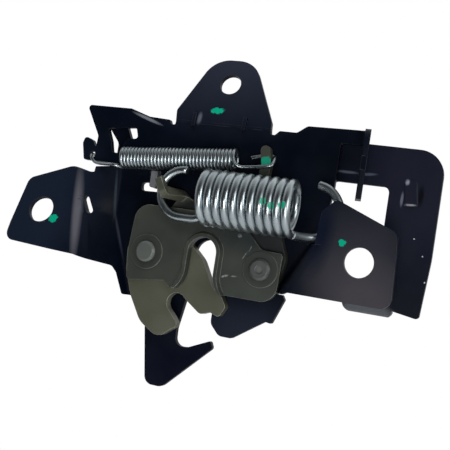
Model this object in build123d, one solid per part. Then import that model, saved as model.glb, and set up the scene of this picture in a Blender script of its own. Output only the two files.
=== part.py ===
from build123d import *
import math
import os

os.makedirs("parts", exist_ok=True)

# Bonnet latch. X to the right, Y to the rear, Z up, millimetres.
# Origin: centre of the latched striker wire, on the front face of the base plate.

# Sheets, from the rear forwards
base_t = 2.0          # base plate
washer_t = 0.4        # spacer rings either side of claw and pawl
play = 0.05           # end play of claw, pawl and safety lever
claw_t = 3.6          # claw and pawl
guide_t = 2.0         # striker guide plate
lever_t = 2.0         # safety lever
spacer_t = 3.0        # distance of the safety lever behind the base plate
back_washer_t = 1.0   # closing washers at the rear

claw_back = -(washer_t + play)
claw_front = claw_back - claw_t
guide_back = claw_front - play - washer_t
guide_front = guide_back - guide_t
lever_front = base_t + spacer_t
lever_back = lever_front + lever_t

# Pivots
pivot_x = 22.0        # each rivet's distance from the striker line
rivet_r = 3.0
sleeve_r = 4.5        # bearing sleeve on the rivet
turn_gap = 0.05       # radial running gap on the sleeve
fit_gap = 0.02        # radial gap of sleeve and washers on the rivet
ring_r = 6.6          # spacer rings
boss_r = 6.3          # raised seat of each rivet in the guide plate
boss_h = 0.4
head_r = 3.8
head_h = 1.5
tail_r = 5.0          # closed heads at the rear
tail_h = 1.4
cup_r = 1.5           # centre mark in the pawl rivet's head

# Striker slot
slot_half = 5.4       # half width in guide plate and base plate
slot_top = 2.8        # height of the round end's centre in the guide plate
slot_bell_z = -3.5    # where the slot starts to widen
slot_bell = 3.6       # how much each wall leans out at the mouth
mouth_z = -11.6
rim_h = 1.5           # drawn rim, forward of the guide plate
rim_foot = 2.2        # rim width at the sheet
rim_crest = 1.3       # rim width at its crest

# Ears
ear_tilt = 15.0       # upper and left ear lean back
ear_fold_z = 50.0     # height where that plane crosses the base plate's front
ear_root = 0.3        # how far the flat panel reaches above that height
right_ear_y = -12.4
upper_bolt_r = 4.0
side_bolt_r = 5.0
upper_bolt = (-4.0, 16.5)     # x, distance up the tilted ear
left_bolt = (-66.1, 9.5)      # x, z
right_bolt = (56.6, 7.4)      # x, z
fold_r = 1.5          # inner radius of the folds
ear_fold_r = 4.0      # inner radius where slopes run into ears

# Springs
claw_wire = 1.5       # wire radius of the claw spring
claw_coil_r = 8.5     # to the wire's centre
claw_coil_y = -17.1
claw_coil_z = 21.6
claw_coil_x = (1.4, 34.0)
loop_r = 9.2          # side loops of the claw spring, to the wire's centre
loop_dip = 8.9        # bend that leads from the last coil into the left loop
loop_x = -10.9
claw_turns = 10.75
loop_y = claw_coil_y + claw_coil_r
pawl_wire = 0.65
pawl_coil_r = 3.5
pawl_coil_y = -4.9
pawl_coil_start = (-38.6, 33.0)
pawl_coil_end = (6.2, 37.1)
pawl_turns = 32.75
safety_wire = 0.6
safety_coil_r = 6.4
safety_turns = 1

# Motion
pawl_drop = 8.0       # degrees the pawl swings in to hold the closed claw


def outline(*corners):
    """Closed outline in x and z; each corner carries its own radius."""
    return make_face(
        FilletPolyline(*[(x, z) for x, z, r in corners], radius=[r for x, z, r in corners], close=True)
    )


def slab(face, front, thick):
    """Sheet whose front face lies at y = front."""
    return extrude(Plane.XZ.offset(-front) * face, amount=-thick)


def disc(x, z, radius, front, thick):
    return slab(Pos(x, z) * Circle(radius), front, thick)


def bent_section(z, points, fold, ear_fold):
    """Cross-section of a sheet folded twice; points run along its front, from the inside out."""
    normals = []
    for a, b in zip(points, points[1:]):
        dx, dy = b[0] - a[0], b[1] - a[1]
        side = math.copysign(1.0, dx) / math.hypot(dx, dy)
        normals.append((-dy * side, dx * side))
    back = [(points[0][0] + normals[0][0] * base_t, points[0][1] + normals[0][1] * base_t)]
    for p, n, m in zip(points[1:-1], normals, normals[1:]):
        share = base_t / (1 + n[0] * m[0] + n[1] * m[1])
        back.append((p[0] + (n[0] + m[0]) * share, p[1] + (n[1] + m[1]) * share))
    last = normals[-1]
    back.append((points[-1][0] + last[0] * base_t, points[-1][1] + last[1] * base_t))
    radii = [0, fold, ear_fold + base_t, 0, 0, ear_fold, fold + base_t, 0]
    line = FilletPolyline(*points, *reversed(back), radius=radii, close=True)
    return Plane.XY.offset(z) * make_face(line)


def turned(shape, x, degrees):
    """Shape turned about the pivot at x; positive is clockwise from the front."""
    return shape.rotate(Axis((x, 0, 0), (0, 1, 0)), degrees)


def coil_corners(origin, axis, first, radius, pitch, turns, steps):
    """Corners of a coil in straight runs; it starts on the side that first points to."""
    origin, axis, first = Vector(origin), Vector(axis), Vector(first)
    across = axis.cross(first)
    corners = []
    for k in range(round(turns * steps) + 1):
        angle = 2 * math.pi * k / steps
        corners.append(
            origin + axis * (pitch * k / steps) + (first * math.cos(angle) + across * math.sin(angle)) * radius
        )
    return corners


def arc_corners(centre, y, radius, start, end, runs):
    """Corners of an arc at depth y, angles in degrees from +X towards +Z."""
    angles = [math.radians(start + (end - start) * k / runs) for k in range(runs + 1)]
    return [(centre[0] + radius * math.cos(a), y, centre[1] + radius * math.sin(a)) for a in angles]


def bent_wire(corners, radius, sides):
    """Spring wire with flat sides, so that its many turns stay light."""
    path = Polyline(*corners)
    section = Plane(origin=path @ 0, z_dir=path % 0) * RegularPolygon(radius, sides)
    return sweep(section, path=path, transition=Transition.RIGHT)


def slot_face(half):
    """Striker slot with a round top and a bell mouth."""
    foot = half + slot_bell
    mid = (half + slot_bell * 0.27, (slot_bell_z + mouth_z) / 2 - 0.6)
    line = Line((-half, slot_bell_z), (-half, slot_top))
    line += ThreePointArc((-half, slot_top), (0, slot_top + half), (half, slot_top))
    line += Line((half, slot_top), (half, slot_bell_z))
    line += ThreePointArc((half, slot_bell_z), mid, (foot, mouth_z))
    line += Line((foot, mouth_z), (-foot, mouth_z))
    line += ThreePointArc((-foot, mouth_z), (-mid[0], mid[1]), (-half, slot_bell_z))
    return make_face(line)


# Base plate: flat panel with both wings and legs
panel = slab(outline(
    (-26, -17.2, 0), (-16, -17.2, 1.5), (-12, -11.8, 2), (-8.8, -10.8, 0.8), (4.4, -10.8, 0),
    (4.4, -22.0, 3.5), (8.2, -25.9, 3), (13.0, -25.9, 2), (24.6, -17.9, 1), (26.9, -18.3, 0.8),
    (30.4, -9.2, 0.8), (29.4, -7.6, 0.4), (27.0, -7.6, 0.4), (37.0, 13.4, 1), (40.9, 22.5, 5),
    (41.8, 31.2, 5), (41.8, 47.7, 1), (47.0, 47.7, 0), (47.0, 52.8, 0), (29.1, 52.5, 2),
    (25.5, 49.8, 2), (19.1, 49.8, 1), (17.5, 48.2, 0.5), (15.9, 48.2, 0.5),
    (15.6, ear_fold_z + ear_root, 0),
    (-21.6, ear_fold_z + ear_root, 0), (-21.8, 48.3, 0.5), (-23.5, 48.3, 0.5), (-24.2, 49.9, 0.4),
    (-32.6, 50.3, 1),
    (-40.7, 52.7, 2), (-60.0, 52.6, 1.2), (-53.2, 41.0, 2), (-53.4, 36.2, 0.3), (-55.2, 39.0, 0.8),
    (-58.6, 40.3, 1.2), (-59.4, 37.6, 1.5), (-57.9, 31.2, 1.0), (-41, 31.2, 0), (-41, 30.2, 0),
    (-26, 30.2, 0),
), 0, base_t)

# Left side: the slope twists from the panel to the tilted ear
tilt = math.tan(math.radians(ear_tilt))
left_folds = [(-22, -28.0, -37.6), (12, -40.3, -50.3), (31, -40.6, -57.4)]
left_sheet = loft([
    bent_section(z, [(-24, 0), (inner, 0), (outer, (z - ear_fold_z) * tilt), (-84, (z - ear_fold_z) * tilt)],
                 fold_r, ear_fold_r)
    for z, inner, outer in left_folds
], ruled=True)
left_side = left_sheet & slab(outline(
    (-24, 30.2, 0), (-24, -17.2, 0), (-31.2, -17.2, 0.8), (-34.6, -9.5, 1.5), (-36.2, -7.3, 1.5),
    (-47.5, -5.2, 2), (-57.0, -4.8, 5), (-77.8, -3.6, 3.5), (-77.5, 3.0, 5), (-75.4, 20.8, 3.5),
    (-58.0, 27.8, 6), (-51.6, 26.4, 0.8), (-50.2, 26.6, 0.3), (-50.2, 28.9, 0.5), (-41.0, 28.9, 0.3),
    (-40.6, 30.2, 0),
), -40, 60)

# Right side: a steep wall carries the ear, cut away above for the claw spring's loop
wall_run = 4.5
wall_foot = 32.7
wall_lean = 0.474
wall_zero = -4.8
wall_top = 11.3
right_sheet = loft([
    bent_section(z, [(20, 0), (wall_foot + wall_lean * (z - wall_zero) - wall_run, 0),
                     (wall_foot + wall_lean * (z - wall_zero), right_ear_y), (75, right_ear_y)],
                 fold_r, ear_fold_r - 1)
    for z in (-9, wall_top)
], ruled=True)
right_side = right_sheet & slab(outline(
    (20, wall_top, 0), (20, -7.0, 0), (32.0, -7.0, 0.8), (34.0, -6.1, 1.5), (69.1, -6.3, 3.8), (68.4, wall_top, 0),
), -40, 60)
right_side += slab(outline(
    (41.2, wall_top, 0), (68.4, wall_top, 0), (67.8, 18.6, 3.5), (46.5, 27.0, 1.2), (43.9, 22.5, 3),
    (43.2, 16.5, 2),
), right_ear_y, base_t)

# Upper ear on its tilted plane, with two ribs across the fold
upper_plane = Plane(
    origin=(0, 0, ear_fold_z), x_dir=(1, 0, 0),
    z_dir=(0, -math.cos(math.radians(ear_tilt)), math.sin(math.radians(ear_tilt))),
)
upper_ear = extrude(upper_plane * outline(
    (-21.6, -0.6, 0), (-22.5, 4.2, 2), (-12.4, 26.5, 10), (3.5, 26.5, 10), (15.3, 3.0, 1.5), (15.8, -0.6, 0),
), amount=-base_t)
rib_h = 1.0
ribs = [
    Pos(x, -rib_h / 2 + 0.4, ear_fold_z + 0.8) * Rot(-ear_tilt / 2, 0, 0) * Box(1.4, rib_h + 0.8, 5.2)
    for x in (-14.2, 5.6)
]

# Cable bracket folded forward at the right wing's end
bracket_x = 49.6
bracket_depth = 9.8
bracket_lean = 2.1
bracket_low = 28.3
bracket_high = 52.8
wing_low = 47.7       # height where the wing's edge meets the bracket
cable_slot_z = 40.5
cable_slot_r = 2.3
cable_slot_y = -5.6
bracket = extrude(Plane.XY.offset(bracket_low) * make_face(FilletPolyline(
    (46.0, 0), (bracket_x, 0), (bracket_x + bracket_lean, -bracket_depth),
    (bracket_x + bracket_lean + 1.96, -bracket_depth + 0.4), (bracket_x + 1.6, base_t), (46.0, base_t),
    radius=[0, fold_r, 0.3, 0.3, fold_r + base_t, 0], close=True,
)), amount=bracket_high - bracket_low)
bracket -= Pos(46, 2, wing_low - 14) * Box(12, 6.4, 28)
bracket -= Pos(51, cable_slot_y - 3, cable_slot_z) * Box(12, 6, 2 * cable_slot_r)
bracket -= Pos(51, cable_slot_y, cable_slot_z) * Rot(0, 90, 0) * Cylinder(cable_slot_r, 12)

# Stop for the open claw: a tongue cut free on three sides and folded forward
stop_h = 3.8          # its height above the sheet
stop_w = 3.4
stop_x = -3.3         # its right side
stop_z = 18.9
stop_tongue = Pos(stop_x - base_t / 2, -stop_h / 2 + 0.5, stop_z) * Box(base_t, stop_h + 1.0, stop_w)
stop_window = Pos(stop_x + stop_h / 2, 1, stop_z) * Box(stop_h, 6, stop_w)

wing_window = slab(outline(
    (-49.4, 44.4, 0.8), (-37.4, 45.6, 1.2), (-36.1, 41.5, 1.0), (-40.5, 41.0, 1), (-43.4, 35.2, 1.0),
    (-46.1, 35.2, 1.0), (-47.2, 39.4, 1),
), -5, 12)
buffer_window = slab(outline(
    (-31.5, 25.3, 1.2), (-31.2, 22.2, 1.2), (-24.2, 22.4, 0.6), (-24.4, 30.3, 0.5), (-28.8, 30.3, 0.5),
    (-28.3, 25.6, 0.3),
), -5, 12)
striker_slot = slab(outline(
    (-slot_half, -12, 0), (4.4, -12, 0), (slot_half, -8.5, 0.8), (slot_half, 7.7, slot_half - 0.1),
    (-slot_half, 7.7, slot_half - 0.1),
), -5, 12)
slope_slot = Plane.XZ * Pos(-48.6, 13.8) * Rot(0, 0, -62.6) * SlotOverall(7.0, 3.0)
hook_eye = (-54.5, 33.6)
leg_eye = (-28.5, -14.4)

base_plate = panel + left_side + right_side + upper_ear + bracket
for rib in ribs:
    base_plate += rib
base_plate += stop_tongue
base_plate -= stop_window + wing_window + buffer_window + striker_slot
base_plate -= extrude(slope_slot, amount=20, both=True)
base_plate -= extrude(upper_plane * Pos(*upper_bolt) * Circle(upper_bolt_r), amount=6, both=True)
left_plane_v = (left_bolt[1] - ear_fold_z) / math.cos(math.radians(ear_tilt))
base_plate -= extrude(upper_plane * Pos(left_bolt[0], left_plane_v) * Circle(side_bolt_r), amount=6, both=True)
base_plate -= disc(right_bolt[0], right_bolt[1], side_bolt_r, right_ear_y - 4, 10)
base_plate -= disc(hook_eye[0], hook_eye[1], pawl_wire + 0.6, -3, 8)
base_plate -= disc(leg_eye[0], leg_eye[1], safety_wire + 0.9, -3, 8)
for side in (-1, 1):
    base_plate -= disc(side * pivot_x, 0, rivet_r + fit_gap, -3, 8)

# Striker guide plate with its drawn rim
guide_edge = outline(
    (-28.4, -11.2, 1.5), (-13.5, -9.3, 0.8), (-11.0, -11.4, 0.4), (9.0, -11.4, 0.4), (10.4, -10.9, 0.6),
    (28.8, -11.0, 6), (29.2, 6.5, 1.2), (21.3, 6.8, 2.5), (12.5, 15.4, 3), (-2, 17.1, 5),
    (-28.6, 17.1, 6), (-29.6, 0, 20),
)
guide = slab(guide_edge, guide_front, guide_t)
rim = loft([
    Plane.XZ.offset(-guide_front) * slot_face(slot_half + rim_foot),
    Plane.XZ.offset(-guide_front + rim_h) * slot_face(slot_half + rim_crest),
], ruled=True)
rim &= slab(guide_edge, guide_front - rim_h, rim_h)
guide += rim
for side in (-1, 1):
    guide += disc(side * pivot_x, 0, boss_r, guide_front - boss_h, boss_h)
guide -= slab(slot_face(slot_half), guide_front - 5, 12)
for side in (-1, 1):
    guide -= disc(side * pivot_x, 0, rivet_r + fit_gap, guide_front - 5, 12)

# Claw, open
throat_r = 3.7        # takes the striker wire of 3.5
claw_body = slab(outline(
    (-31.4, 3.0, 7), (-30.2, -8.0, 12), (-26.8, -16.8, 12), (-21.5, -25.5, 8), (-13.6, -30.2, 4.5),
    (-6.4, -24.5, 1.4), (-8.8, -21.6, 1.2), (-12.8, -17.5, throat_r), (-9.4, -10.8, throat_r), (-4.4, -15.2, 1.0),
    (1.4, -19.2, 2.2), (4.9, -17.8, 1.2), (8.6, -19.0, 1.2), (10.6, -15.0, 2), (8.2, -11.2, 2),
    (4.6, -9.0, 3), (-0.6, 0.2, 8), (-5.5, 4.6, 3), (-9.8, 10.0, 4), (-6.4, 15.8, 1.5),
    (-6.1, 19.8, 1.0), (-10.5, 22.6, 1.5), (-14.5, 19.6, 2), (-21.5, 9.5, 6),
), claw_front, claw_t)

# Its arm leads up, folds forward through the spring's loop and ends in front of the wire
arm_root = (-8.0, 18.4)
arm_dir = (-0.8, 0.6)
arm_w = 3.6
tip_back = loop_y - claw_wire - 0.1
tip_front = tip_back - 3.0
arm_plane = Plane(origin=(arm_root[0], 0, arm_root[1]), x_dir=(arm_dir[0], 0, arm_dir[1]),
                  z_dir=(-arm_dir[1], 0, arm_dir[0]))
arm_side = [
    (1.0, claw_back), (7.4, claw_back), (10.6, tip_back), (14.2, tip_back), (14.2, tip_front),
    (7.6, tip_front), (4.4, claw_front), (1.0, claw_front),
]
arm_face = make_face(FilletPolyline(*arm_side, radius=[0, 1.2, 0.8, 1.2, 1.2, 3.0, 1.0, 0], close=True))
claw_arm = extrude(arm_plane.offset(-arm_w / 2) * arm_face, amount=arm_w)
claw = claw_body + claw_arm
claw -= disc(-pivot_x, 0, sleeve_r + turn_gap, claw_front - 4, claw_t + 8)

# Pawl, drawn where it holds the closed claw, then swung out to let the claw pass
pawl_low = slab(outline(
    (10.64, 10.68, 0.4), (15.0, 4.4, 2), (15.2, -6.8, 6.5), (28.8, -6.8, 6.5),
    (29.0, 6.0, 5), (20.0, 21.5, 0), (13.5, 33.2, 0), (10.4, 33.2, 0), (12.6, 22.0, 0),
    (14.6, 16.4, 2), (13.4, 13.3, 0.6),
), claw_front, claw_t)
pawl_low = turned(pawl_low, pivot_x, pawl_drop)
tab_front = claw_front - 1.4
tab_t = 3.0
pawl_tab = slab(outline(
    (15.6, 31.5, 0.5), (16.0, 36.4, 1.0), (14.7, 44.4, 1.7), (18.2, 44.9, 1.7), (19.5, 37.0, 1.0),
    (19.3, 31.5, 0.5),
), tab_front, tab_t)
pawl = pawl_low + pawl_tab
pawl -= disc(pivot_x, 0, sleeve_r + turn_gap, claw_front - 4, claw_t + 8)

# Safety lever: hook below, stop arm up left, finger frame at the right
lever = slab(outline(
    (-19.7, -48.9, 3.5), (-12.8, -48.9, 4), (4.9, -31.3, 1.2), (3.7, -28.7, 0.8), (-4.8, -32.6, 2),
    (-10.0, -33.2, 3.2), (-10.3, -26.5, 6), (-8.4, -15.0, 4), (-11.5, -3.0, 6), (-10.6, 5.0, 5),
    (-6.5, 12.6, 5), (13.0, 12.6, 4), (24.0, 7.0, 5), (39.7, 7.0, 2), (39.7, 35.0, 2),
    (59.9, 35.0, 2.2), (60.0, 2.0, 3), (49.2, 2.0, 2), (49.2, -3.5, 0), (66.5, -3.5, 0),
    (66.5, -6.9, 0.6), (76.0, -8.4, 1.2), (77.4, 12.0, 30), (77.3, 49.0, 8.8), (50.0, 49.2, 3),
    (42.0, 46.6, 5), (22.0, 45.6, 6), (8.0, 40.0, 10), (-14.0, 33.0, 5), (-25.3, 32.0, 1.5),
    (-25.3, 20.5, 2), (-30.0, 14.0, 3), (-37.2, 23.5, 4), (-39.4, 27.0, 5), (-41.7, 42.0, 3),
    (-45.5, 49.6, 1.5), (-50.2, 49.2, 1.5), (-51.0, 44.6, 2), (-46.6, 39.6, 3), (-46.6, 33.0, 6),
    (-36.5, 12.0, 8), (-32.0, 0.0, 8), (-26.6, -9.0, 8),
), lever_front, lever_t)
lip_r = 6.0
lip_z = -3.5
lip_ring = Plane.YZ.offset(49.2) * Pos(lever_front + lip_r, lip_z) * (Circle(lip_r) - Circle(lip_r - lever_t))
lip = extrude(lip_ring, amount=17.3)
lip &= Pos(57.8, lever_front + lip_r / 2, lip_z - lip_r / 2) * Box(18, lip_r, lip_r)
lip &= slab(outline((49.2, 4, 0), (49.2, -9.9, 3.5), (66.5, -9.9, 3.0), (66.5, 4, 0)), 0, 30)
bead_h = 0.8
thumb_bead = slab(outline((65.0, 38.0, 1.5), (68.8, 38.6, 1.5), (70.2, 29.7, 1.0), (66.0, 29.0, 1.5)),
                  lever_front - bead_h, bead_h + 0.5)
lever += lip + thumb_bead
lever -= disc(-pivot_x, 0, sleeve_r + turn_gap, lever_front - 4, lever_t + 8)
lever_eye = (-33.0, 8.6)
lever -= disc(lever_eye[0], lever_eye[1], safety_wire + 0.9, lever_front - 4, 12)

# Buffer pushed into its window; the safety lever rests against it
stop_buffer = slab(outline((-28.2, 24.4, 0.4), (-25.7, 23.4, 0.4), (-25.7, 30.1, 0.4), (-28.4, 30.1, 0.4)),
                   0, base_t)
stop_buffer += slab(outline((-29.4, 24.0, 1), (-25.6, 24.0, 1), (-25.6, 31.0, 1), (-29.4, 31.0, 1)),
                    base_t, spacer_t + lever_t)

# Rivets, sleeves, rings and washers
tail_stack = {"claw": lever_back + play + back_washer_t, "pawl": base_t + back_washer_t}
rivets = {}
for name, side in (("claw", -1), ("pawl", 1)):
    seat = guide_front - boss_h
    shank = disc(side * pivot_x, 0, rivet_r, seat, tail_stack[name] - seat)
    head = disc(side * pivot_x, 0, head_r, seat - head_h, head_h)
    head = chamfer(head.faces().sort_by(Axis.Y)[0].edges(), head_h * 0.5)
    tail = disc(side * pivot_x, 0, tail_r, tail_stack[name], tail_h)
    tail = chamfer(tail.faces().sort_by(Axis.Y)[-1].edges(), tail_h * 0.6)
    rivets[name] = shank + head + tail
rivets["pawl"] -= disc(pivot_x, 0, cup_r, guide_front - boss_h - head_h - 1, 1.5)


def ring(side, inner, outer, front, thick):
    return disc(side * pivot_x, 0, outer, front, thick) - disc(side * pivot_x, 0, inner, front - 1, thick + 2)


sleeve_in = rivet_r + fit_gap
over_sleeve = sleeve_r + fit_gap
safety_bush = ring(-1, sleeve_in, sleeve_r, base_t, spacer_t + lever_t + play)
safety_bush += ring(-1, sleeve_in, safety_coil_r - safety_wire - 0.4, base_t, spacer_t - play)

# Claw spring: close coils with a side loop at each end
claw_rise = (claw_coil_x[1] - claw_coil_x[0]) / claw_turns
dip_x = claw_coil_x[0] - loop_dip
loop_centre = (loop_x, claw_coil_z - loop_dip + loop_r)
left_loop = arc_corners(loop_centre, loop_y, loop_r, 88, 270, 10)
left_bend = arc_corners((dip_x, claw_coil_z), loop_y, loop_dip, 270, 360, 5)
claw_coil = coil_corners(
    (claw_coil_x[0], claw_coil_y, claw_coil_z), (1, 0, 0), (0, 1, 0), claw_coil_r, claw_rise, claw_turns, 12
)
right_loop = [
    (35.8, claw_coil_y + 3.2, 13.0), (38.4, claw_coil_y + 6.6, 13.1), (42.0, loop_y, 14.0), (45.2, loop_y, 16.3),
    (47.1, loop_y, 19.4), (47.5, loop_y, 22.9), (46.4, loop_y, 26.4), (44.1, loop_y, 29.3), (41.4, loop_y, 30.9),
    (38.8, loop_y, 31.4),
]
claw_spring = bent_wire(left_loop + left_bend[:-1] + claw_coil + right_loop, claw_wire, 8)

# Pawl spring: long and thin, hooked to the base plate's finger and round the pawl's tab
run = Vector(pawl_coil_end[0] - pawl_coil_start[0], 0, pawl_coil_end[1] - pawl_coil_start[1])
pawl_axis = run.normalized()
left_hook = [
    (hook_eye[0], 2.6, hook_eye[1]), (hook_eye[0], -0.4, hook_eye[1]), (-53.9, -1.3, 32.4), (-52.6, -1.5, 30.9),
    (-50.8, -2.1, 30.2), (-45.6, -4.6, 30.0), (-42.6, -6.4, 30.0), (-40.6, -7.0, 29.9), (-39.3, -6.3, 29.7),
]
pawl_coil = coil_corners(
    (pawl_coil_start[0], pawl_coil_y, pawl_coil_start[1]), pawl_axis, (pawl_axis.Z, 0, -pawl_axis.X),
    pawl_coil_r, run.length / pawl_turns, pawl_turns, 8,
)
right_hook = [
    (7.2, -8.3, 35.7), (8.7, -7.7, 34.9), (11.8, -6.9, 34.8), (15.6, -6.5, 35.2), (19.3, -6.8, 36.4),
    (21.1, -5.7, 37.1), (21.5, -3.5, 38.2), (20.3, -1.8, 39.3), (17.8, -1.4, 40.0), (14.6, -1.4, 40.0),
    (10.6, -1.4, 39.0),
]
pawl_spring = bent_wire(left_hook + pawl_coil + right_hook, pawl_wire, 6)

# Safety spring round the spacer, one leg in the base plate and one in the lever
safety_y = base_t + 0.2 + safety_wire
safety_rise = spacer_t - 2 * safety_wire - 0.4
base_leg = [
    (leg_eye[0], 0.4, leg_eye[1]), (leg_eye[0], base_t + 0.2, leg_eye[1]), (leg_eye[0], base_t + 0.9, leg_eye[1] + 1),
]
safety_coil = coil_corners(
    (-pivot_x, safety_y, 0), (0, 1, 0), (-1, 0, 0), safety_coil_r, safety_rise / safety_turns, safety_turns, 16
)
lever_leg = [
    (-28.6, lever_front - 0.8, 2.6), (-30.4, lever_front - 0.8, 6.0), (-32.2, lever_front - 0.8, 7.8),
    (lever_eye[0], lever_front, lever_eye[1]), (lever_eye[0], lever_back - 0.6, lever_eye[1]),
]
safety_spring = bent_wire(base_leg + safety_coil + lever_leg, safety_wire, 6)

nodes = {
    "base_plate": base_plate,
    "front_plate": guide,
    "claw": claw,
    "pawl": pawl,
    "safety_lever": lever,
    "stop_buffer": stop_buffer,
    "claw_rivet": rivets["claw"],
    "pawl_rivet": rivets["pawl"],
    "claw_bush": ring(-1, sleeve_in, sleeve_r, guide_back, -guide_back),
    "pawl_bush": ring(1, sleeve_in, sleeve_r, guide_back, -guide_back),
    "claw_front_washer": ring(-1, over_sleeve, ring_r, guide_back, washer_t),
    "claw_rear_washer": ring(-1, over_sleeve, ring_r, -washer_t, washer_t),
    "pawl_front_washer": ring(1, over_sleeve, ring_r, guide_back, washer_t),
    "pawl_rear_washer": ring(1, over_sleeve, ring_r, -washer_t, washer_t),
    "safety_bush": safety_bush,
    "safety_washer": ring(-1, sleeve_in, ring_r, lever_back + play, back_washer_t),
    "pawl_backing_washer": ring(1, sleeve_in, ring_r, base_t, back_washer_t),
    "claw_spring": claw_spring,
    "pawl_spring": pawl_spring,
    "safety_spring": safety_spring,
}
for name, shape in nodes.items():
    export_step(shape, f"parts/{name}.step")
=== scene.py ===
import math

import bmesh
import bpy
from mathutils import Euler, Matrix, Vector


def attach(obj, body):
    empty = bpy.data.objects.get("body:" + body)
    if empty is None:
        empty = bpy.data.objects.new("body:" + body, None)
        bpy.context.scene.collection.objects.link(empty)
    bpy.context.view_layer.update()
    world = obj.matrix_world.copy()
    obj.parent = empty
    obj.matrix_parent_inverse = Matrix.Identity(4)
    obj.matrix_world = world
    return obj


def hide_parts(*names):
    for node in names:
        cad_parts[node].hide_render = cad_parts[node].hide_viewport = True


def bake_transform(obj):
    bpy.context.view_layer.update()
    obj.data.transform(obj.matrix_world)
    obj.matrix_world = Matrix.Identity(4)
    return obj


# The bonnet latch's looks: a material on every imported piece, four pressed pieces with small
# corrections of shape, and three springs of smooth wire. Lengths are millimetres in the part's
# frame, and MM turns them into Blender's metres.
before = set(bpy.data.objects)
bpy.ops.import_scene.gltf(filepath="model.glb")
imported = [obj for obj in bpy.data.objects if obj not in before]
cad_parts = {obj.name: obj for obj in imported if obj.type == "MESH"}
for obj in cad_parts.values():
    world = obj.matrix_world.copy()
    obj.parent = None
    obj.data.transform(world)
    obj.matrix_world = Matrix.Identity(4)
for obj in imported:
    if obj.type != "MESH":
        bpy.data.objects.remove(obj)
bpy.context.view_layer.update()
MM = 0.001

# Camera, as fitted to the photograph
CAMERA_AT = Vector((111.5, -287.3, 3.1)) * MM
CAMERA_YAW = math.radians(20.5)
CAMERA_RISE = math.radians(-2.0)
CAMERA_ROLL = math.radians(9.0)
LENS = 68.0  # focal length
SENSOR_WIDTH = 36.0
NEAR_CLIP = 0.01  # metres


def add_object(name, data):
    """A new object in the scene."""
    thing = bpy.data.objects.new(name, data)
    bpy.context.scene.collection.objects.link(thing)
    return thing


def add_mesh(name, mesh):
    """A new object in the scene that shows an edited mesh."""
    data = bpy.data.meshes.new(name)
    mesh.to_mesh(data)
    mesh.free()
    return add_object(name, data)


def make_camera():
    """Camera at the fitted place, turned by its yaw and rise and then rolled."""
    back = Vector((
        math.sin(CAMERA_YAW) * math.cos(CAMERA_RISE),
        -math.cos(CAMERA_YAW) * math.cos(CAMERA_RISE),
        math.sin(CAMERA_RISE),
    ))
    level = Vector((math.cos(CAMERA_YAW), math.sin(CAMERA_YAW), 0))
    upright = back.cross(level)
    right = level * math.cos(CAMERA_ROLL) + upright * math.sin(CAMERA_ROLL)
    up = upright * math.cos(CAMERA_ROLL) - level * math.sin(CAMERA_ROLL)
    data = bpy.data.cameras.new("camera")
    data.lens = LENS
    data.sensor_width = SENSOR_WIDTH
    data.clip_start = NEAR_CLIP
    camera = add_object("camera", data)
    camera.matrix_world = Matrix.Translation(CAMERA_AT) @ Matrix((right, up, back)).transposed().to_4x4()
    bpy.context.scene.camera = camera


def srgb(*levels):
    """Linear colour of three 0 to 255 screen levels."""
    linear = []
    for level in levels:
        c = level / 255
        linear.append(c / 12.92 if c <= 0.04045 else ((c + 0.055) / 1.055) ** 2.4)
    return (*linear, 1)


# Looks that several materials share
TEAL = srgb(0, 138, 108)  # inspection paint
PALE = srgb(150, 155, 160)  # bared steel in scratches and specks
ROUND_EDGE = 0.3  # radius that shading gives to sharp edges
BEVEL_SAMPLES = 6
MASK_NOISE = 900  # scale of the noise that makes a mask's outline uneven
FORWARD = (-0.3, -0.6)  # a face's Y normal where a front mask starts and is full


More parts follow.
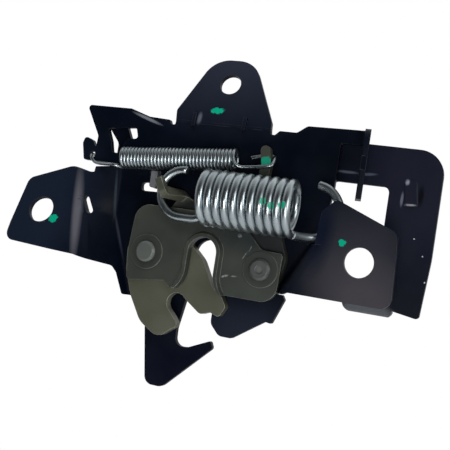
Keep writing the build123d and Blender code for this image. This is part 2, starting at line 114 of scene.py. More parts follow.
class Shader:
    """A material's node tree, built by short calls."""

    def __init__(self, name):
        self.material = bpy.data.materials.new(name)
        self.material.use_nodes = True
        self.tree = self.material.node_tree
        self.tree.nodes.clear()
        self.place = self.add("ShaderNodeTexCoord").outputs["Object"]

    def add(self, kind, inputs=(), **settings):
        """A new node; each input is a value, or the socket that it is linked to."""
        node = self.tree.nodes.new(kind)
        for key, value in settings.items():
            setattr(node, key, value)
        for key, value in dict(inputs).items():
            if isinstance(value, bpy.types.NodeSocket):
                self.tree.links.new(value, node.inputs[key])
            else:
                node.inputs[key].default_value = value
        return node

    def noise(self, scale, detail, distortion=0.0):
        """Noise that is fixed to the object, from 0 to 1."""
        inputs = {"Vector": self.place, "Scale": scale, "Detail": detail, "Distortion": distortion}
        return self.add("ShaderNodeTexNoise", inputs).outputs["Fac"]

    def band(self, value, low, high, out_low=0.0, out_high=1.0):
        """Maps low to high onto out_low to out_high, and holds it beyond them."""
        inputs = {
            "Value": value, "From Min": low, "From Max": high, "To Min": out_low, "To Max": out_high,
        }
        return self.add("ShaderNodeMapRange", inputs).outputs["Result"]

    def math(self, operation, a, b):
        """Result of one operation on two values."""
        return self.add("ShaderNodeMath", {0: a, 1: b}, operation=operation).outputs[0]

    def mix(self, factor, a, b):
        """Colour a, turning to b as the factor goes to 1.

        A mix node has its colours at inputs 6 and 7 and at output 2.
        """
        return self.add("ShaderNodeMix", {0: factor, 6: a, 7: b}, data_type="RGBA").outputs[2]

    def blob(self, x, z, half_x, half_z, turn=0.0, soft=0.25, front=True, ragged=0.25):
        """Mask of an oval with an uneven outline, on the faces that look forward or on all faces."""
        mapping = self.add("ShaderNodeMapping", {
            "Vector": self.place, "Location": (x * MM, 0, z * MM),
            "Rotation": Euler((0, math.radians(-turn), 0)), "Scale": (half_x * MM, 1, half_z * MM),
        }, vector_type="TEXTURE")
        flat = self.add("ShaderNodeVectorMath", {
            0: mapping.outputs["Vector"], 1: (1, 0, 1),
        }, operation="MULTIPLY").outputs["Vector"]
        reach = self.add("ShaderNodeVectorMath", {0: flat}, operation="LENGTH").outputs["Value"]
        if ragged:
            unevenness = self.band(self.noise(MASK_NOISE, 2), 0.3, 0.7, -ragged, ragged)
            reach = self.math("ADD", reach, unevenness)
        mask = self.band(reach, 1 + soft / 2, 1 - soft / 2)
        if not front:
            return mask
        normal = self.add("ShaderNodeNewGeometry").outputs["Normal"]
        facing = self.add("ShaderNodeSeparateXYZ", {"Vector": normal}).outputs["Y"]
        return self.math("MULTIPLY", mask, self.band(facing, *FORWARD))

    def edges(self, radius, low, high):
        """Mask of the sharp edges, where a coat wears or catches light."""
        rounded = self.add("ShaderNodeBevel", {"Radius": radius * MM}, samples=BEVEL_SAMPLES)
        true_normal = self.add("ShaderNodeNewGeometry").outputs["Normal"]
        match = self.add("ShaderNodeVectorMath", {
            0: rounded.outputs["Normal"], 1: true_normal,
        }, operation="DOT_PRODUCT")
        return self.band(match.outputs["Value"], high, low)

    def ovals(self, colour, places):
        """Colour with a softly bounded tint at each place."""
        for place, tint in places:
            colour = self.mix(self.blob(*place, ragged=0), colour, srgb(*tint))
        return colour

    def finish(self, colour, roughness, metallic, grain, strength, depth,
               round_edge=ROUND_EDGE, specular=0.5):
        """Ends the tree: a principled surface whose bump comes from the grain."""
        bump = self.add("ShaderNodeBump", {"Height": grain, "Strength": strength, "Distance": depth * MM})
        if round_edge:
            soft = self.add("ShaderNodeBevel", {"Radius": round_edge * MM}, samples=BEVEL_SAMPLES)
            self.tree.links.new(soft.outputs["Normal"], bump.inputs["Normal"])
        shader = self.add("ShaderNodeBsdfPrincipled", {
            "Base Color": colour, "Roughness": roughness, "Metallic": metallic,
            "Normal": bump.outputs["Normal"], "Specular IOR Level": specular,
        })
        self.add("ShaderNodeOutputMaterial", {"Surface": shader.outputs[0]})
        return self.material


def dipped_coat(name, base, light, specular, tints, marks=(), specks=()):
    """Satin black dip coat: cloudy tone, fine orange peel, thin and paler on edges."""
    s = Shader(name)
    clouds = s.band(s.noise(38, 5), 0.35, 0.7)
    colour = s.ovals(s.mix(clouds, srgb(*base), srgb(*light)), tints)
    dust = s.band(s.noise(1400, 3), 0.66, 0.74, 0, 0.12)
    colour = s.mix(dust, colour, srgb(52, 56, 66))
    patchy = s.band(s.noise(160, 4), 0.42, 0.62, 0.05, 0.6)
    worn = s.math("MULTIPLY", s.edges(0.35, 0.72, 0.97), patchy)
    colour = s.mix(worn, colour, srgb(74, 78, 88))
    for speck in specks:
        colour = s.mix(s.blob(*speck), colour, PALE)
    for mark in marks:
        colour = s.mix(s.blob(*mark), colour, TEAL)
    roughness = s.band(s.noise(75, 4), 0.3, 0.7, 0.31, 0.47)
    orange_peel = s.noise(700, 3)
    return s.finish(colour, roughness, 0.0, orange_peel, strength=0.2, depth=0.04, specular=specular)


def plated_steel(name, base, light, rough, metallic, tints=(), halos=(), scratches=(), marks=(),
                 rim=(118, 119, 108), edge_wear_and_highlight=(0.15, 0.7)):
    """Passivated steel: clouds of tone, rolling grain, brighter sheared edges with a painted edge
    highlight, and scratches.
    """
    s = Shader(name)
    clouds = s.band(s.noise(55, 6), 0.3, 0.7)
    base = srgb(*base)
    colour = s.ovals(s.mix(clouds, base, srgb(*light)), tints)
    stain = s.band(s.noise(21, 3, distortion=0.6), 0.5, 0.75, 0, 0.45)
    stain_shade = 0.62
    colour = s.mix(stain, colour, tuple(c * stain_shade for c in base[:3]) + (1,))
    # Pale sheared edges: bared steel, with a painted highlight along them
    patchy = s.band(s.noise(240, 4), 0.35, 0.6, *edge_wear_and_highlight)
    bright = s.math("MULTIPLY", s.edges(0.4, 0.7, 0.96), patchy)
    colour = s.ovals(s.mix(bright, colour, srgb(*rim)), halos)
    for scratch in scratches:
        broken = s.band(s.noise(1100, 3), 0.4, 0.6, 0.15, 0.75)
        mask = s.math("MULTIPLY", s.blob(*scratch, soft=0.8), broken)
        colour = s.mix(mask, colour, PALE)
    for mark in marks:
        colour = s.mix(s.blob(*mark), colour, TEAL)
    roughness = s.band(s.noise(120, 5), 0.3, 0.7, rough - 0.08, rough + 0.1)
    rolled_grain = s.noise(950, 4)
    return s.finish(colour, roughness, metallic, rolled_grain, strength=0.4, depth=0.04)


def zinc_wire(name, marks=()):
    """Bright zinc plated spring wire with drawing lines and dull patches."""
    s = Shader(name)
    clouds = s.band(s.noise(90, 4), 0.35, 0.7)
    colour = s.mix(clouds, srgb(156, 166, 171), srgb(178, 188, 192))
    dull = s.band(s.noise(420, 3), 0.6, 0.74, 0, 0.4)
    colour = s.mix(dull, colour, srgb(128, 136, 140))
    depth = s.add("ShaderNodeSeparateXYZ", {"Vector": s.place}).outputs["Y"]
    near_side = s.band(depth, -20 * MM, -22 * MM)
    bare = 1.0
    for mark in marks:
        mask = s.math("MULTIPLY", s.blob(*mark), near_side)
        colour = s.mix(mask, colour, TEAL)
        bare = s.math("SUBTRACT", bare, mask)
    roughness = s.band(s.noise(200, 3), 0.3, 0.7, 0.24, 0.34)
    drawing_lines = s.noise(800, 2)
    return s.finish(colour, roughness, bare, drawing_lines, strength=0.06, depth=0.01, round_edge=0)


def moulded(name, base, light, rough):
    """Rubber or plastic with a fine matt skin."""
    s = Shader(name)
    colour = s.mix(s.band(s.noise(300, 5), 0.35, 0.7), srgb(*base), srgb(*light))
    roughness = s.band(s.noise(500, 3), 0.3, 0.7, rough - 0.06, rough + 0.06)
    skin = s.noise(2200, 3)
    return s.finish(colour, roughness, 0.0, skin, strength=0.4, depth=0.03)


def dress(nodes, material):
    """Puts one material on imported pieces."""
    for node in nodes:
        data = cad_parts[node].data
        data.materials.clear()
        data.materials.append(material)


def dress_all():
    """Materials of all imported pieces.

    A tint or halo is an oval and its colour. The oval gives x, z, half width, half height, turn in
    degrees and softness, with False at the end where all faces take it. Marks, specks and
    scratches are ovals too.
    """
    dress(["base_plate"], dipped_coat(
        "black_dip_coat", base=(2, 6, 15), light=(6, 11, 23), specular=0.09,
        tints=[
            ((-4.0, 84.0, 36, 26, 0, 1.2), (32, 36, 48)),  # upper ear, lit from above
            ((-68.0, 10.0, 18, 30, 0, 0.9), (17, 24, 37)),  # painted light on the left ear
            ((-33.5, 49.5, 5.5, 0.55, -17, 0.8), (96, 100, 108)),  # gleam under the left wing's edge
            ((-12.6, 51.6, 0.8, 2.0, 0, 0.9), (72, 76, 86)),  # gleam on the left rib
            ((-50.8, 9.2, 1.5, 15.0, 14, 1.0), (74, 74, 81)),  # painted highlight on the bend from left slope to ear
            ((-41.4, 19.5, 0.4, 7.5, 6, 1.0), (36, 44, 56)),  # painted highlight on the bend from panel to left slope
            ((-37.5, 4.4, 0.4, 7.0, 21, 1.0), (32, 36, 48)),  # painted highlight on the same bend, lower part
            ((56.0, 6.0, 17, 18, 0, 1.0), (36, 37, 44)),  # painted light on the right ear
            ((60.0, -5.0, 14, 11, -20, 1.2), (54, 52, 57)),  # painted light on the right ear's browner lower part
            ((42.0, 17.0, 4, 12, 0, 1.0), (9, 15, 30)),  # painted shade along the right ear's inner edge
            ((18.0, -22.0, 18, 10, 0, 1.0), (26, 31, 43)),  # leg below the pawl
        ],
        marks=[(-6.5, 55.2, 2.6, 1.1, 0), (-60.0, 6.6, 1.8, 1.5, 30), (50.3, 13.1, 1.2, 1.2, 0)],
    ))
    dress(["safety_lever"], dipped_coat(
        "lever_dip_coat", base=(4, 8, 19), light=(8, 12, 25), specular=0.1,
        tints=[
            ((68.0, 38.0, 20, 26, 0, 1.0), (19, 21, 34)),  # finger frame, upper right
            ((44.5, 38.6, 3.4, 0.45, 0, 0.8), (66, 72, 84)),  # gleam left of the bracket
            ((51.8, 38.6, 2.8, 0.45, 6, 0.8), (60, 66, 78)),  # gleam right of the bracket
            ((67.8, 29.7, 1.9, 0.35, 4, 0.6), (110, 112, 120)),  # painted highlight on the lug's lower edge
            ((64.6, 31.4, 0.45, 2.2, 0, 0.8), (84, 88, 100)),  # painted highlight on the lug's left edge
            ((70.8, 33.2, 0.9, 3.2, 0, 0.9), (3, 5, 12)),  # lug's shadow
            ((57.8, -8.6, 9.4, 3.4, 0, 0.5, False), (72, 75, 80)),  # painted grey reflection on the finger lip
            ((57.8, -10.6, 8.6, 0.8, 0, 0.8, False), (168, 172, 176)),  # painted highlight along the lip's lower edge
            ((65.7, 37.4, 0.7, 0.9, 0, 0.9), (110, 114, 124)),  # gleam above the lug
        ],
        specks=[(70.7, 18.5, 0.3, 0.3, 0), (74.3, 13.0, 0.25, 0.25, 0), (76.2, 4.4, 0.25, 0.3, 0)],
    ))
    dress(["front_plate"], plated_steel(
        "olive_guide_plate", base=(47, 50, 46), light=(58, 61, 55), rough=0.48, metallic=0.3,
        tints=[
            ((14.0, -14.0, 22, 14, 20, 1.4), (56, 61, 55)),  # painted light on the lower right
            ((20.0, 12.0, 16, 7, 0, 1.2), (27, 36, 36)),  # in the large spring's shade
        ],
        halos=[
            ((-22.0, 0.0, 6.0, 6.0, 0, 0.5), (44, 47, 44)),  # pressed ring round the left rivet
            ((22.0, 0.0, 6.0, 6.0, 0, 0.5), (46, 50, 46)),  # pressed ring round the right rivet
        ],
        scratches=[
            (9.4, -4.2, 1.3, 0.35, 25), (12.6, -3.8, 0.9, 0.25, 10), (12.6, 10.6, 0.6, 0.6, 0),
            (15.5, 4.0, 1.3, 0.16, 62), (17.2, 6.6, 1.0, 0.14, 70),
        ],
        rim=(150, 152, 142), edge_wear_and_highlight=(0.3, 0.9),
    ))
    dress(["claw"], plated_steel(
        "olive_claw", base=(73, 75, 61), light=(85, 86, 73), rough=0.5, metallic=0.3,
        tints=[
            ((-9.0, 18.2, 8, 3.2, 20, 1.0), (24, 28, 28)),  # arm's root, in the spring's shade
            ((-17.5, 25.0, 5, 3.4, 0, 1.0), (62, 66, 56)),  # arm's end
        ],
        rim=(176, 178, 170), edge_wear_and_highlight=(0.4, 0.95),
    ))
    dress(["pawl"], plated_steel(
        "olive_pawl", base=(46, 48, 42), light=(60, 62, 54), rough=0.5, metallic=0.3,
        tints=[((25.0, 4.0, 17, 14, 0, 0.7), (20, 24, 28))],  # below the tab, in shade
        marks=[(17.6, 37.7, 2.1, 1.6, 0)],
        rim=(84, 87, 80),
    ))
    dress(["claw_rivet"], plated_steel(
        "rivet_steel", base=(92, 97, 94), light=(108, 112, 108), rough=0.42, metallic=0.5,
        rim=(140, 143, 136), edge_wear_and_highlight=(0.3, 0.8),
    ))
    dress(["pawl_rivet"], plated_steel(
        "rivet_steel_dark", base=(68, 70, 70), light=(86, 88, 87), rough=0.42, metallic=0.5,
        halos=[((22.0, 0.0, 1.1, 1.1, 0, 0.9), (104, 106, 103))],  # centre mark
        rim=(112, 114, 110), edge_wear_and_highlight=(0.3, 0.8),
    ))
    dress(
        ["claw_bush", "pawl_bush", "safety_bush", "safety_washer", "pawl_backing_washer"],
        plated_steel(
            "turned_steel", base=(122, 124, 124), light=(146, 147, 146), rough=0.34, metallic=0.85,
        ),
    )
    dress(
        ["claw_front_washer", "claw_rear_washer", "pawl_front_washer", "pawl_rear_washer"],
        moulded("washer_plastic", base=(46, 46, 44), light=(60, 60, 57), rough=0.5),
    )
    dress(["stop_buffer"], moulded("buffer_rubber", base=(96, 98, 103), light=(112, 114, 119), rough=0.6))


# Corrections to four pieces, where the photograph shows a little more than their solids have
WELD = 0.001  # points nearer than this are one
FLAT_AREA = 1.5  # larger faces are shaded flat, in square millimetres
SHARP_ANGLE = math.radians(30)

BRACKET_FROM = (45.9, 28.0)  # lowest x and z of the cable bracket's faces
BRACKET_DEPTH = 9.8  # how far it stands out in front of the panel
BRACKET_TOP = 52.8
BRACKET_ROUND = 6.0  # radius of its upper front corner
BRACKET_CUTS = (12, 27, 45, 63, 78)  # directions of the cuts along the corner's arc, in degrees

SLOT_Z = (38.1, 42.9)  # cable slot's lower and upper edge
SLOT_PLUG = ((-9.5, 51.67, 53.6), (-7.4, 51.22, 53.2))  # y, left x and right x of the plug's ends
# The plug's six faces, by the numbers of its corners
PLUG_FACES = ((0, 1, 3, 2), (4, 6, 7, 5), (0, 2, 6, 4), (1, 5, 7, 3), (0, 4, 5, 1), (2, 3, 7, 6))

EAR_EDGE_X = (40.0, 46.4)  # where the right ear's inner edge lies
EAR_REAR = -10.3  # y just behind the ear's sheet
EAR_BULGE = 2.2  # how far the edge comes out in the middle
EAR_BULGE_Z = (12.0, 27.4)  # where the curve begins and ends

LEFT_SLOT = (-48.6, 13.8)  # x and z of the slot's centre in the left slope
LEFT_SLOT_REACH = 4.3  # the slot's points lie within this radius
SLOT_ACROSS = (0.888, 0.46)  # direction across the slot, in x and z
SLOT_NARROWING = 0.4  # share of its width that it loses
LEFT_SLOPE = (0.97, 0.13)  # the slope's run in y for each step of x and z

SLOPE_CORNER_X = (-42.0, -40.4)  # left slope's upper inner corner
SLOPE_CORNER_Z = (28.2, 29.6)
SLOPE_LIFT = 1.6

LEVER_TOP = ((21.0, 45.4, 45.4), (42.0, 46.6, 49.1), (50.0, 49.2, 49.2))  # x, old and new height
LEVER_EDGE_NEAR = 0.8  # points nearer than this to the old height lie on the edge

TAB_FROM = 41.0  # z above which a point is part of the tab's top
TAB_CUT = 1.4

ARM_ROOT = (-8.0, 18.4)  # x and z where the claw's arm begins
ARM_WAY = (-0.8, 0.6)  # its direction in x and z
ARM_TIP = (-19.3, 26.9)  # x and z of the line that its end turns about
ARM_FROM = 2.5  # distance from the root at which it gets narrower
ARM_HALF = 2.4  # points within this distance of its middle line belong to it
ARM_NARROWING = 0.25  # share of its width that it loses
ARM_FRONT = -4.1  # y just in front of the claw's sheet, where the turn starts
ARM_TURN = math.radians(24)
ARM_TURN_RUN = 5.0  # depth over which the turn grows to the full angle


def round_bracket(mesh):
    """Rounds the cable bracket's upper front corner by cuts along an arc."""
    centre = Vector((0, BRACKET_ROUND - BRACKET_DEPTH, BRACKET_TOP - BRACKET_ROUND))
    least_x, least_z = BRACKET_FROM
    for degrees in BRACKET_CUTS:
        angle = math.radians(degrees)
        outward = Vector((0, -math.cos(angle), math.sin(angle)))
        faces = [
            face for face in mesh.faces
            if all(v.co.x > least_x * MM and v.co.z > least_z * MM for v in face.verts)
        ]
        edges = {edge for face in faces for edge in face.edges}
        corners = {vertex for face in faces for vertex in face.verts}
        cut = bmesh.ops.bisect_plane(
            mesh, geom=faces + list(edges) + list(corners),
            plane_co=(centre + outward * BRACKET_ROUND) * MM, plane_no=outward, clear_outer=True,
        )
        rim = [part for part in cut["geom_cut"] if isinstance(part, bmesh.types.BMEdge)]
        bmesh.ops.edgenet_fill(mesh, edges=rim)


def close_cable_slot(mesh):
    """Closes the cable slot's mouth with a block, so that a hole is left."""
    corners = []
    for y, left, right in SLOT_PLUG:
        for z in SLOT_Z:
            corners += [mesh.verts.new(Vector((x, y, z)) * MM) for x in (left, right)]
    for face in PLUG_FACES:
        mesh.faces.new([corners[k] for k in face])


def fill_ear_edge(mesh):
    """Brings the right ear's inner edge out in a curve, up to the panel's edge."""
    left, right = EAR_EDGE_X
    low, high = EAR_BULGE_Z
    for vertex in mesh.verts:
        x, y, z = vertex.co / MM
        if left < x < right and y < EAR_REAR and low < z < high:
            vertex.co.x -= EAR_BULGE * math.sin(math.pi * (z - low) / (high - low)) * MM


def narrow_slot(mesh):
    """Makes the slot in the left slope narrower, along the slope's surface."""
    across_x, across_z = SLOT_ACROSS
    run_y = across_x * LEFT_SLOPE[0] + across_z * LEFT_SLOPE[1]
    for vertex in mesh.verts:
        x, z = vertex.co.x / MM - LEFT_SLOT[0], vertex.co.z / MM - LEFT_SLOT[1]
        if math.hypot(x, z) < LEFT_SLOT_REACH:
            shift = -SLOT_NARROWING * (x * across_x + z * across_z)
            vertex.co += Vector((across_x, run_y, across_z)) * shift * MM


def raise_slope_corner(mesh):
    """Lifts the left slope's upper inner corner to the wing's lower edge."""
    left, right = SLOPE_CORNER_X
    low, high = SLOPE_CORNER_Z
    for vertex in mesh.verts:
        if left < vertex.co.x / MM < right and low < vertex.co.z / MM < high:
            vertex.co.z += SLOPE_LIFT * MM


def edit_base(mesh):
    """All the corrections of the base plate."""
    fill_ear_edge(mesh)
    narrow_slot(mesh)
    raise_slope_corner(mesh)
    round_bracket(mesh)
    close_cable_slot(mesh)


def raise_lever_edge(mesh):
    """Raises the lever's upper edge, which lies behind the wing."""
    for (x0, old0, new0), (x1, old1, new1) in zip(LEVER_TOP, LEVER_TOP[1:]):
        for vertex in mesh.verts:
            x, z = vertex.co.x / MM, vertex.co.z / MM
            share = (x - x0) / (x1 - x0)
            old = old0 + (old1 - old0) * share
            if x0 <= x < x1 and abs(z - old) < LEVER_EDGE_NEAR:
                vertex.co.z += (new0 - old0 + (new1 - old1 - new0 + old0) * share) * MM


def lower_tab(mesh):
    """Takes the top of the pawl's tab down."""
    for vertex in mesh.verts:
        if vertex.co.z > TAB_FROM * MM:
            vertex.co.z -= TAB_CUT * MM


def slim_arm(mesh):
    """Makes the claw's arm narrower and turns its forward end steeper."""
    root = Vector((ARM_ROOT[0], 0, ARM_ROOT[1])) * MM
    along = Vector((ARM_WAY[0], 0, ARM_WAY[1]))
    across = Vector((ARM_WAY[1], 0, -ARM_WAY[0]))
    tip = Vector((ARM_TIP[0], 0, ARM_TIP[1])) * MM
    for vertex in mesh.verts:
        flat = Vector((vertex.co.x, 0, vertex.co.z))
        reach, side = (flat - root).dot(along) / MM, (flat - root).dot(across) / MM
        if reach > ARM_FROM and abs(side) < ARM_HALF:
            flat -= across * (side * ARM_NARROWING * MM)
            share = min(max((ARM_FRONT - vertex.co.y / MM) / ARM_TURN_RUN, 0), 1)
            turned = Matrix.Rotation(ARM_TURN * share, 4, "Y") @ (flat - tip) + tip
            vertex.co.x, vertex.co.z = turned.x, turned.z


def reshaped(node, name, body, edit):
    """The node's own mesh with an edit, shown in the node's place."""
    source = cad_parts[node].data
    mesh = bmesh.new()
    mesh.from_mesh(source)
    bmesh.ops.remove_doubles(mesh, verts=mesh.verts, dist=WELD * MM)
    edit(mesh)
    mesh.normal_update()
    for face in mesh.faces:
        face.smooth = face.calc_area() < FLAT_AREA * MM * MM
    piece = add_mesh(name, mesh)
    # The stored normals belong to the shape before the edit
    stored = piece.data.attributes.get("custom_normal")
    if stored:
        piece.data.attributes.remove(stored)
    piece.data.set_sharp_from_angle(angle=SHARP_ANGLE)
    piece.data.materials.append(source.materials[0])
    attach(piece, body)
    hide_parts(node)


# Springs, as smooth wire; their places are those of the part's source
CLAW_WIRE = 1.5  # radius of the wire
CLAW_COIL_R = 8.5  # coil's mean radius
CLAW_COIL = Vector((1.4, -17.1, 21.6))  # coil's left end, on its axis
CLAW_COIL_LENGTH = 32.6
CLAW_TURNS = 10.75
CLAW_STEPS = 40  # points a turn
CLAW_SIDES = 18  # sides of the wire
LOOP_Y = CLAW_COIL.y + CLAW_COIL_R  # plane of the left loop and the right hook
LOOP_R = 8.5
LOOP_DIP = 7.6  # how far the wire drops from the coil to the loop's lower side
LOOP_X = -10.6  # x of the loop's centre

PAWL_WIRE = 0.65
PAWL_COIL_R = 3.5
PAWL_COIL_START = Vector((-38.6, -4.9, 33.0))
PAWL_COIL_END = Vector((6.2, -4.9, 37.1))
PAWL_TURNS = 32.75
PAWL_STEPS = 28

SAFETY_WIRE = 0.6
SAFETY_COIL_R = 6.4
SAFETY_COIL = Vector((-22.0, 2.8, 0))  # coil's front end, on the safety lever's pivot
SAFETY_COIL_LENGTH = 1.4
SAFETY_TURNS = 1
SAFETY_STEPS = 40

THIN_SIDES = 12  # sides of the two thin springs' wire
END_SHRINK = 0.7  # a wire end's flat part, as a share of its radius
END_RISE = 0.22  # how far the flat part stands out, as a share of the radius


def coil(origin, axis, first, radius, length, turns, steps):
    """Points of a coil that starts on the side that first points to."""
    across = axis.cross(first)
    points = []
    for k in range(round(turns * steps) + 1):
        share = k / (turns * steps)
        angle = 2 * math.pi * k / steps
        side = first * math.cos(angle) + across * math.sin(angle)
        points.append(origin + axis * (length * share) + side * radius)
    return points


def arc(centre_x, centre_z, y, radius, start, end, runs):
    """Points of an arc in a plane that faces the front, from start to end in degrees."""
    angles = [math.radians(start + (end - start) * k / runs) for k in range(runs + 1)]
    return [Vector((centre_x + radius * math.cos(a), y, centre_z + radius * math.sin(a))) for a in angles]


def smooth(*places):
    """Points of a chain whose corners are rounded by cutting them twice."""
    points = [Vector(place) for place in places]
    for _ in range(2):
        cut = [points[0]]
        for a, b in zip(points, points[1:]):
            cut += [a.lerp(b, 0.25), a.lerp(b, 0.75)]
        points = cut + [points[-1]]
    return points


def tube(name, points, radius, sides, material):
    """Round wire of millimetre points as a mesh, with slightly rounded ends."""
    mesh = bmesh.new()
    last = len(points) - 1
    tangents = [(points[min(i + 1, last)] - points[max(i - 1, 0)]).normalized() for i in range(last + 1)]
    side = tangents[0].orthogonal().normalized()
    rings = []
    for point, tangent in zip(points, tangents):
        side = (side - tangent * side.dot(tangent)).normalized()
        other = tangent.cross(side)
        rings.append([
            mesh.verts.new((point + (side * math.cos(a) + other * math.sin(a)) * radius) * MM)
            for a in (2 * math.pi * k / sides for k in range(sides))
        ])
    for low, high in zip(rings, rings[1:]):
        for k in range(sides):
            mesh.faces.new((low[k], low[(k + 1) % sides], high[(k + 1) % sides], high[k]))
    for ring, outward, turn in ((rings[0], -tangents[0], -1), (rings[-1], tangents[-1], 1)):
        centre = sum((v.co for v in ring), Vector()) / sides
        rise = outward * radius * END_RISE * MM
        inner = [mesh.verts.new(centre + (v.co - centre) * END_SHRINK + rise) for v in ring]
        for k in range(sides):
            quad = (ring[k], ring[(k + 1) % sides], inner[(k + 1) % sides], inner[k])
            mesh.faces.new(quad[::turn])
        mesh.faces.new(inner[::turn])
    mesh.normal_update()
    piece = add_mesh(name, mesh)
    for face in piece.data.polygons:
        face.use_smooth = True
    piece.data.materials.append(material)
    return piece


def make_claw_spring(material):
    """Large spring: loop round the claw's arm, coil, and hook through the right ear's edge."""
    along = Vector((1, 0, 0))
    start_side = Vector((0, 1, 0))
    turns = coil(CLAW_COIL, along, start_side, CLAW_COIL_R, CLAW_COIL_LENGTH, CLAW_TURNS, CLAW_STEPS)
    loop_z = CLAW_COIL.z - LOOP_DIP + LOOP_R
    loop = arc(LOOP_X, loop_z, LOOP_Y, LOOP_R, start=88, end=270, runs=30)
    bend = arc(CLAW_COIL.x - LOOP_DIP, CLAW_COIL.z, LOOP_Y, LOOP_DIP, start=270, end=360, runs=14)
    y = CLAW_COIL.y
    right = smooth(
        turns[-1],
        (35.8, y + 3.2, 13.0), (38.4, y + 6.6, 13.1), (42.0, LOOP_Y, 14.0), (45.2, LOOP_Y, 16.3),
        (47.1, LOOP_Y, 19.4), (47.5, LOOP_Y, 22.9), (46.4, LOOP_Y, 26.4), (44.1, LOOP_Y, 29.3),
        (41.4, LOOP_Y, 30.9), (38.8, LOOP_Y, 31.4),
    )
    points = loop + bend[:-1] + turns + right[1:]
    spring = tube("claw_spring_wire", points, CLAW_WIRE, CLAW_SIDES, material)
    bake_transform(spring)
    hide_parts("claw_spring")


def make_pawl_spring(material):
    """Small spring: hook in the left wing, coil, and hook round the pawl's tab."""
    run = PAWL_COIL_END - PAWL_COIL_START
    along = run.normalized()
    start_side = Vector((along.z, 0, -along.x))
    turns = coil(PAWL_COIL_START, along, start_side, PAWL_COIL_R, run.length, PAWL_TURNS, PAWL_STEPS)
    left = smooth(
        (-54.5, 2.6, 33.6), (-54.5, -0.4, 33.6), (-53.9, -1.3, 32.4), (-52.6, -1.5, 30.9),
        (-50.8, -2.1, 30.2), (-45.6, -4.6, 30.0), (-42.6, -6.4, 30.0), (-40.6, -7.0, 29.9),
        (-39.3, -6.3, 29.7), turns[0],
    )
    right = smooth(
        turns[-1],
        (7.0, -8.3, 35.5), (8.4, -7.9, 34.6), (9.8, -7.4, 34.5), (14.0, -6.8, 35.1),
        (18.6, -6.6, 35.9), (19.9, -6.4, 36.2), (20.3, -6.0, 37.0), (20.2, -4.4, 38.6),
        (20.0, -2.8, 39.6), (19.2, -1.5, 40.2), (17.0, -1.4, 40.3), (14.6, -1.4, 40.0),
        (10.6, -1.4, 39.0),
    )
    points = left[:-1] + turns + right[1:]
    spring = tube("pawl_spring_wire", points, PAWL_WIRE, THIN_SIDES, material)
    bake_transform(spring)
    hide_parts("pawl_spring")


def make_safety_spring(material):
    """Hidden torsion spring behind the panel: one leg in the base, one in the lever."""
    along = Vector((0, 1, 0))
    start_side = Vector((-1, 0, 0))
    turns = coil(
        SAFETY_COIL, along, start_side, SAFETY_COIL_R, SAFETY_COIL_LENGTH, SAFETY_TURNS, SAFETY_STEPS,
    )
    base_leg = smooth((-28.5, 0.4, -14.4), (-28.5, 2.2, -14.4), (-28.5, 2.9, -13.4), turns[0])
    lever_leg = smooth(
        turns[-1],
        (-28.6, 4.2, 2.6), (-30.4, 4.2, 6.0), (-32.2, 4.2, 7.8), (-33.0, 5.0, 8.6), (-33.0, 6.4, 8.6),
    )
    points = base_leg[:-1] + turns + lever_leg[1:]
    spring = tube("safety_spring_wire", points, SAFETY_WIRE, THIN_SIDES, material)
    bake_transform(spring)
    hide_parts("safety_spring")


# Studio, in metres
FILL = 0.3  # strength of the light from all round
WHITE = (1, 1, 1, 1)
FLOOR_RADIUS = 0.42
FLOOR_SIDES = 96
FLOOR_Z = -0.26
FLOOR_LIFT = 0.35  # makes the floor nearly white for the camera alone
LAMPS = (  # name, place, width, watts, and whether metal mirrors it
    ("lamp_low_front", (0.24, -0.66, -0.20), 0.32, 2.8, True),
    ("lamp_top", (-0.06, -0.26, 0.66), 0.55, 4.2, False),
    ("lamp_right", (0.62, -0.42, 0.16), 0.40, 1.6, True),
)
LAMP_TARGET = Vector((0, 0, 0.01))


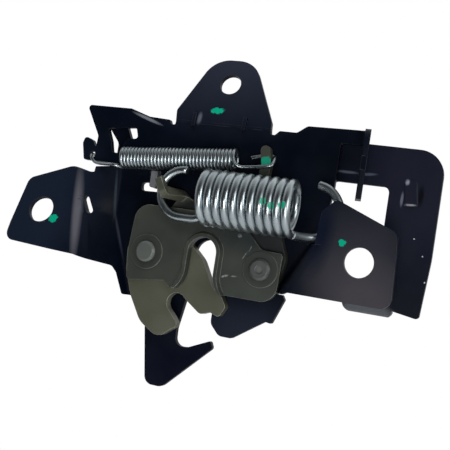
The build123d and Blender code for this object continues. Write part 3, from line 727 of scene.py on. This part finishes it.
def make_world():
    """White where the camera looks; metal sees the white surroundings and the dark room in front."""
    world = bpy.data.worlds.new("studio")
    bpy.context.scene.world = world
    world.use_nodes = True
    tree = world.node_tree
    tree.nodes.clear()

    def add(kind, operation=None, **values):
        node = tree.nodes.new(kind)
        if operation:
            node.operation = operation
        for key, value in values.items():
            node.inputs[key.replace("_", " ")].default_value = value
        return node

    # Mirrored light fades towards the front, where the room is dark, and towards the ground
    way = add("ShaderNodeTexCoord")
    parts = add("ShaderNodeSeparateXYZ")
    room = add("ShaderNodeMapRange", From_Min=-0.7, From_Max=0.5, To_Min=0.03, To_Max=1.0)
    ground = add("ShaderNodeMapRange", From_Min=-0.9, From_Max=0.3, To_Min=0.15, To_Max=1.0)
    both = add("ShaderNodeMath", "MULTIPLY")
    path = add("ShaderNodeLightPath")
    either = add("ShaderNodeMath", "MAXIMUM")
    fill = add("ShaderNodeBackground", Color=WHITE, Strength=FILL)
    mirrored = add("ShaderNodeBackground", Color=WHITE)
    seen = add("ShaderNodeBackground", Color=WHITE)
    shine = add("ShaderNodeMixShader")
    look = add("ShaderNodeMixShader")
    out = add("ShaderNodeOutputWorld")
    for source, target in (
        (way.outputs["Generated"], parts.inputs[0]),
        (parts.outputs["Y"], room.inputs["Value"]),
        (parts.outputs["Z"], ground.inputs["Value"]),
        (room.outputs[0], both.inputs[0]),
        (ground.outputs[0], both.inputs[1]),
        (both.outputs[0], mirrored.inputs["Strength"]),
        (path.outputs["Is Glossy Ray"], either.inputs[0]),
        (path.outputs["Is Transmission Ray"], either.inputs[1]),
        (either.outputs[0], shine.inputs["Fac"]),
        (fill.outputs[0], shine.inputs[1]),
        (mirrored.outputs[0], shine.inputs[2]),
        (path.outputs["Is Camera Ray"], look.inputs["Fac"]),
        (shine.outputs[0], look.inputs[1]),
        (seen.outputs[0], look.inputs[2]),
        (look.outputs[0], out.inputs["Surface"]),
    ):
        tree.links.new(source, target)


def make_floor():
    """Pale round floor below the hanging latch."""
    mesh = bmesh.new()
    bmesh.ops.create_circle(mesh, cap_ends=True, segments=FLOOR_SIDES, radius=FLOOR_RADIUS)
    floor = add_mesh("floor", mesh)
    floor.location = (0, 0, FLOOR_Z)
    s = Shader("floor_paint")
    tone = s.mix(s.band(s.noise(6, 3), 0.3, 0.7), (0.93, 0.93, 0.93, 1), (0.96, 0.96, 0.96, 1))
    grain = s.noise(90, 3)
    floor.data.materials.append(s.finish(tone, 0.8, 0.0, grain, strength=0.1, depth=0.2))
    paint = next(node for node in s.tree.nodes if node.type == "BSDF_PRINCIPLED")
    paint.inputs["Emission Color"].default_value = WHITE
    camera_ray = s.add("ShaderNodeLightPath").outputs["Is Camera Ray"]
    s.tree.links.new(s.math("MULTIPLY", camera_ray, FLOOR_LIFT), paint.inputs["Emission Strength"])


def make_lamps():
    """Three soft square lamps that point at the latch."""
    for name, place, width, power, mirrored in LAMPS:
        data = bpy.data.lights.new(name, "AREA")
        data.shape = "SQUARE"
        data.size = width
        data.energy = power
        lamp = add_object(name, data)
        lamp.location = place
        lamp.visible_glossy = mirrored
        lamp.rotation_euler = (LAMP_TARGET - Vector(place)).to_track_quat("-Z", "Y").to_euler()


make_camera()
dress_all()
zinc = zinc_wire("bright_zinc")
marked_zinc = zinc_wire("bright_zinc_marked", marks=[
    (25.7, 22.2, 1.2, 1.2, 0), (28.6, 21.2, 1.2, 1.2, 0), (32.2, 21.9, 1.2, 1.2, 0),
])
reshaped("base_plate", "base_plate_sheet", "base", edit_base)
reshaped("safety_lever", "safety_lever_sheet", "safety_lever", raise_lever_edge)
reshaped("pawl", "pawl_sheet", "pawl", lower_tab)
reshaped("claw", "claw_sheet", "claw", slim_arm)
make_claw_spring(marked_zinc)
make_pawl_spring(zinc)
make_safety_spring(zinc)
make_floor()
make_world()
make_lamps()
bpy.context.scene.view_settings.view_transform = "Standard"
